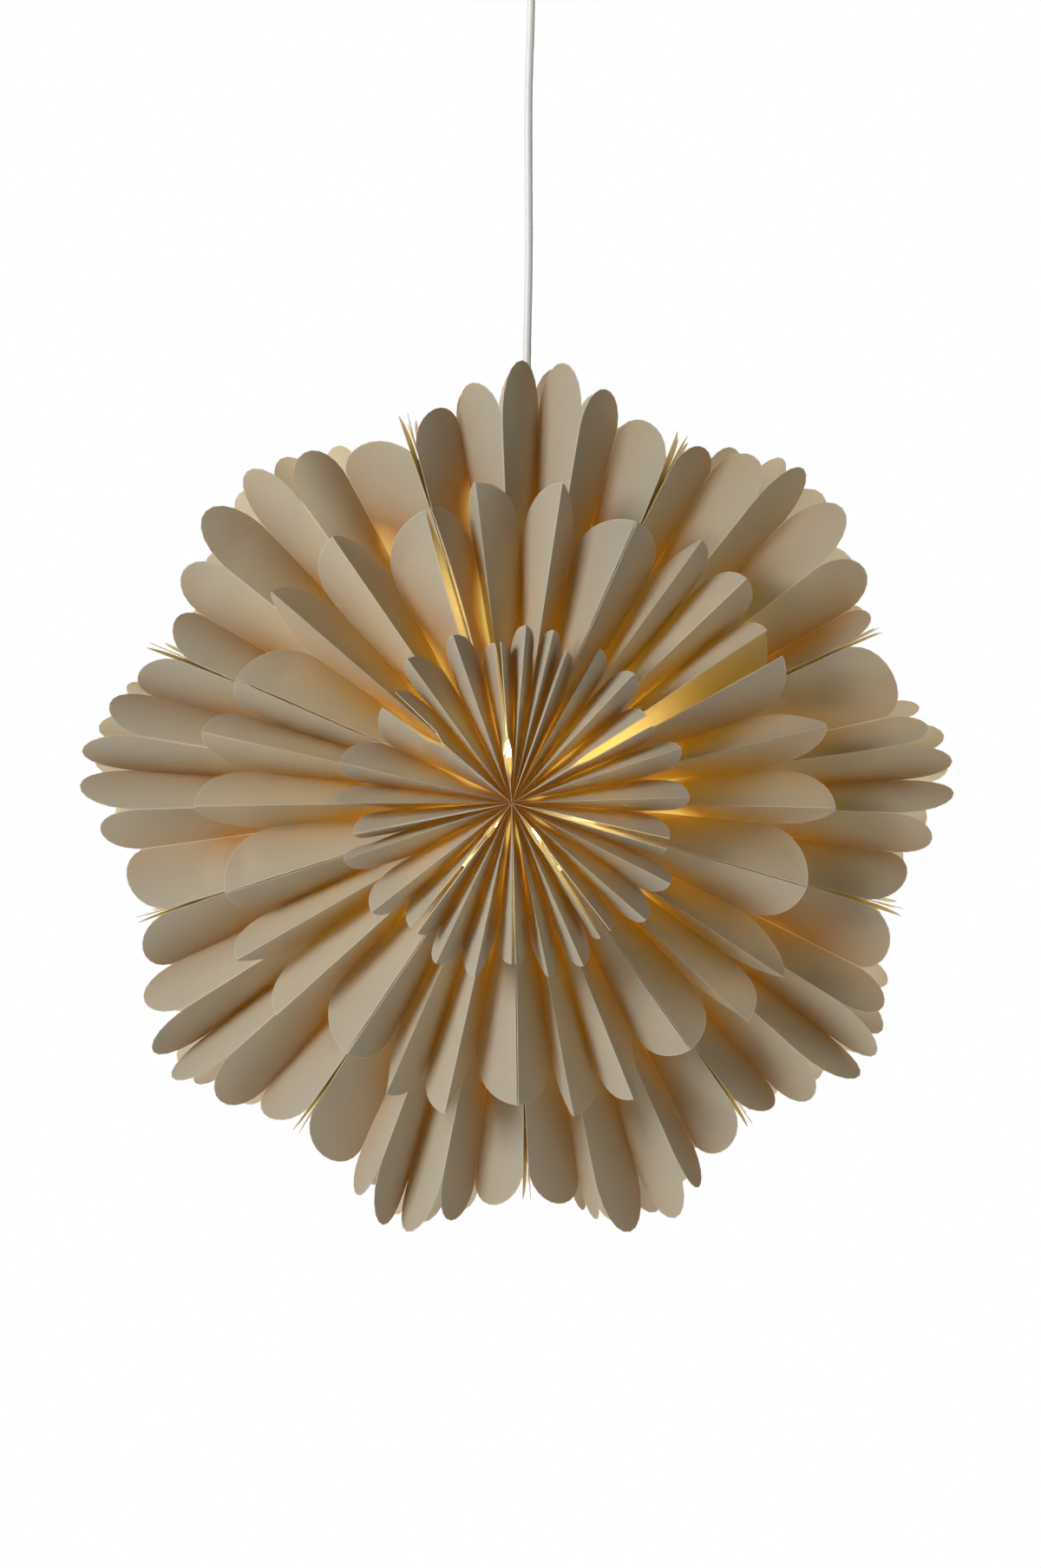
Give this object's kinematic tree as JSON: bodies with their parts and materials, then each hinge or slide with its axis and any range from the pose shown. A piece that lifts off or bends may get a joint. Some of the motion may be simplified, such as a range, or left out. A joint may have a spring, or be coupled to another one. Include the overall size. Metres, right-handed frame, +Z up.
{
  "type": "paper christmas star pendant lamp",
  "caption": "Hanging christmas star of pleated greige paper in stepped petal rings, lit by a bulb inside, on a white cord with a ceiling cup.",
  "frame": {"origin": "middle of the ceiling plate's top face, where the lamp hangs from the ceiling", "axes": "+Z up to the ceiling; the star's axis lies along Y and its front looks along -Y; +X to the right seen from the front"},
  "size_m": [0.5963, 0.3, 0.9388],
  "materials": {
    "paper": "matte fine-grained greige paper that lets a little of the lamp's light through",
    "white_plastic": "satin moulded white",
    "white_cable": "smooth white cable sheath",
    "ceramic": "unglazed pale",
    "zinc_steel": "zinc plated",
    "brass": "plain pressed",
    "frosted_glass": "white frosted, lit warm",
    "bulb_base_metal": "thin pressed screw base"
  },
  "bodies": {
    "root": {"ceiling_plate": "zinc_steel", "terminal_block": "white_plastic"},
    "cup": {"ceiling_cup": "white_plastic", "cup_collar": "white_plastic"},
    "pendant": {"cord": "white_cable", "cord_grip": "white_plastic", "holder_sleeve": "white_plastic", "holder_screw_shell": "brass", "holder_insert": "ceramic", "holder_centre_contact": "brass", "holder_cap": "white_plastic", "star_bracket": "zinc_steel", "wall_and_back_pleats_1": "paper", "wall_and_back_pleats_2": "paper", "wall_and_back_pleats_3": "paper", "wall_and_back_pleats_4": "paper", "wall_and_back_pleats_5": "paper", "wall_and_back_pleats_6": "paper", "wall_and_back_pleats_7": "paper", "wall_and_back_pleats_8": "paper", "wall_and_back_pleats_9": "paper", "front_inner_pleats_1": "paper", "front_inner_pleats_2": "paper", "front_inner_pleats_3": "paper", "front_inner_pleats_4": "paper", "front_inner_pleats_5": "paper", "front_inner_pleats_6": "paper", "front_inner_pleats_7": "paper", "front_inner_pleats_8": "paper", "front_inner_pleats_9": "paper", "front_middle_pleats_1": "paper", "front_middle_pleats_2": "paper", "front_middle_pleats_3": "paper", "front_middle_pleats_4": "paper", "front_middle_pleats_5": "paper", "front_middle_pleats_6": "paper", "front_middle_pleats_7": "paper", "front_middle_pleats_8": "paper", "front_middle_pleats_9": "paper", "front_outer_pleats_1": "paper", "front_outer_pleats_2": "paper", "front_outer_pleats_3": "paper", "front_outer_pleats_4": "paper", "front_outer_pleats_5": "paper", "front_outer_pleats_6": "paper", "front_outer_pleats_7": "paper", "front_outer_pleats_8": "paper", "front_outer_pleats_9": "paper", "back_outer_pleats_1": "paper", "back_outer_pleats_2": "paper", "back_outer_pleats_3": "paper", "back_outer_pleats_4": "paper", "back_outer_pleats_5": "paper", "back_outer_pleats_6": "paper", "back_outer_pleats_7": "paper", "back_outer_pleats_8": "paper", "back_outer_pleats_9": "paper"},
    "bulb": {"bulb_globe": "frosted_glass", "bulb_screw_base": "bulb_base_metal"}
  },
  "joints": [
    {"name": "cup_slide", "type": "slide", "parent": "root", "child": "cup", "axis": [0, 0, -1], "range_m": [0, 0.03]},
    {"name": "star_swivel", "type": "hinge", "parent": "root", "child": "pendant", "pos_m": [0, 0, -0.03], "axis": [0, 0, 1], "range_deg": [-170, 170]},
    {"name": "bulb_unscrew", "type": "slide", "parent": "pendant", "child": "bulb", "axis": [0, 0, -1], "range_m": [0, 0.028]}
  ]
}
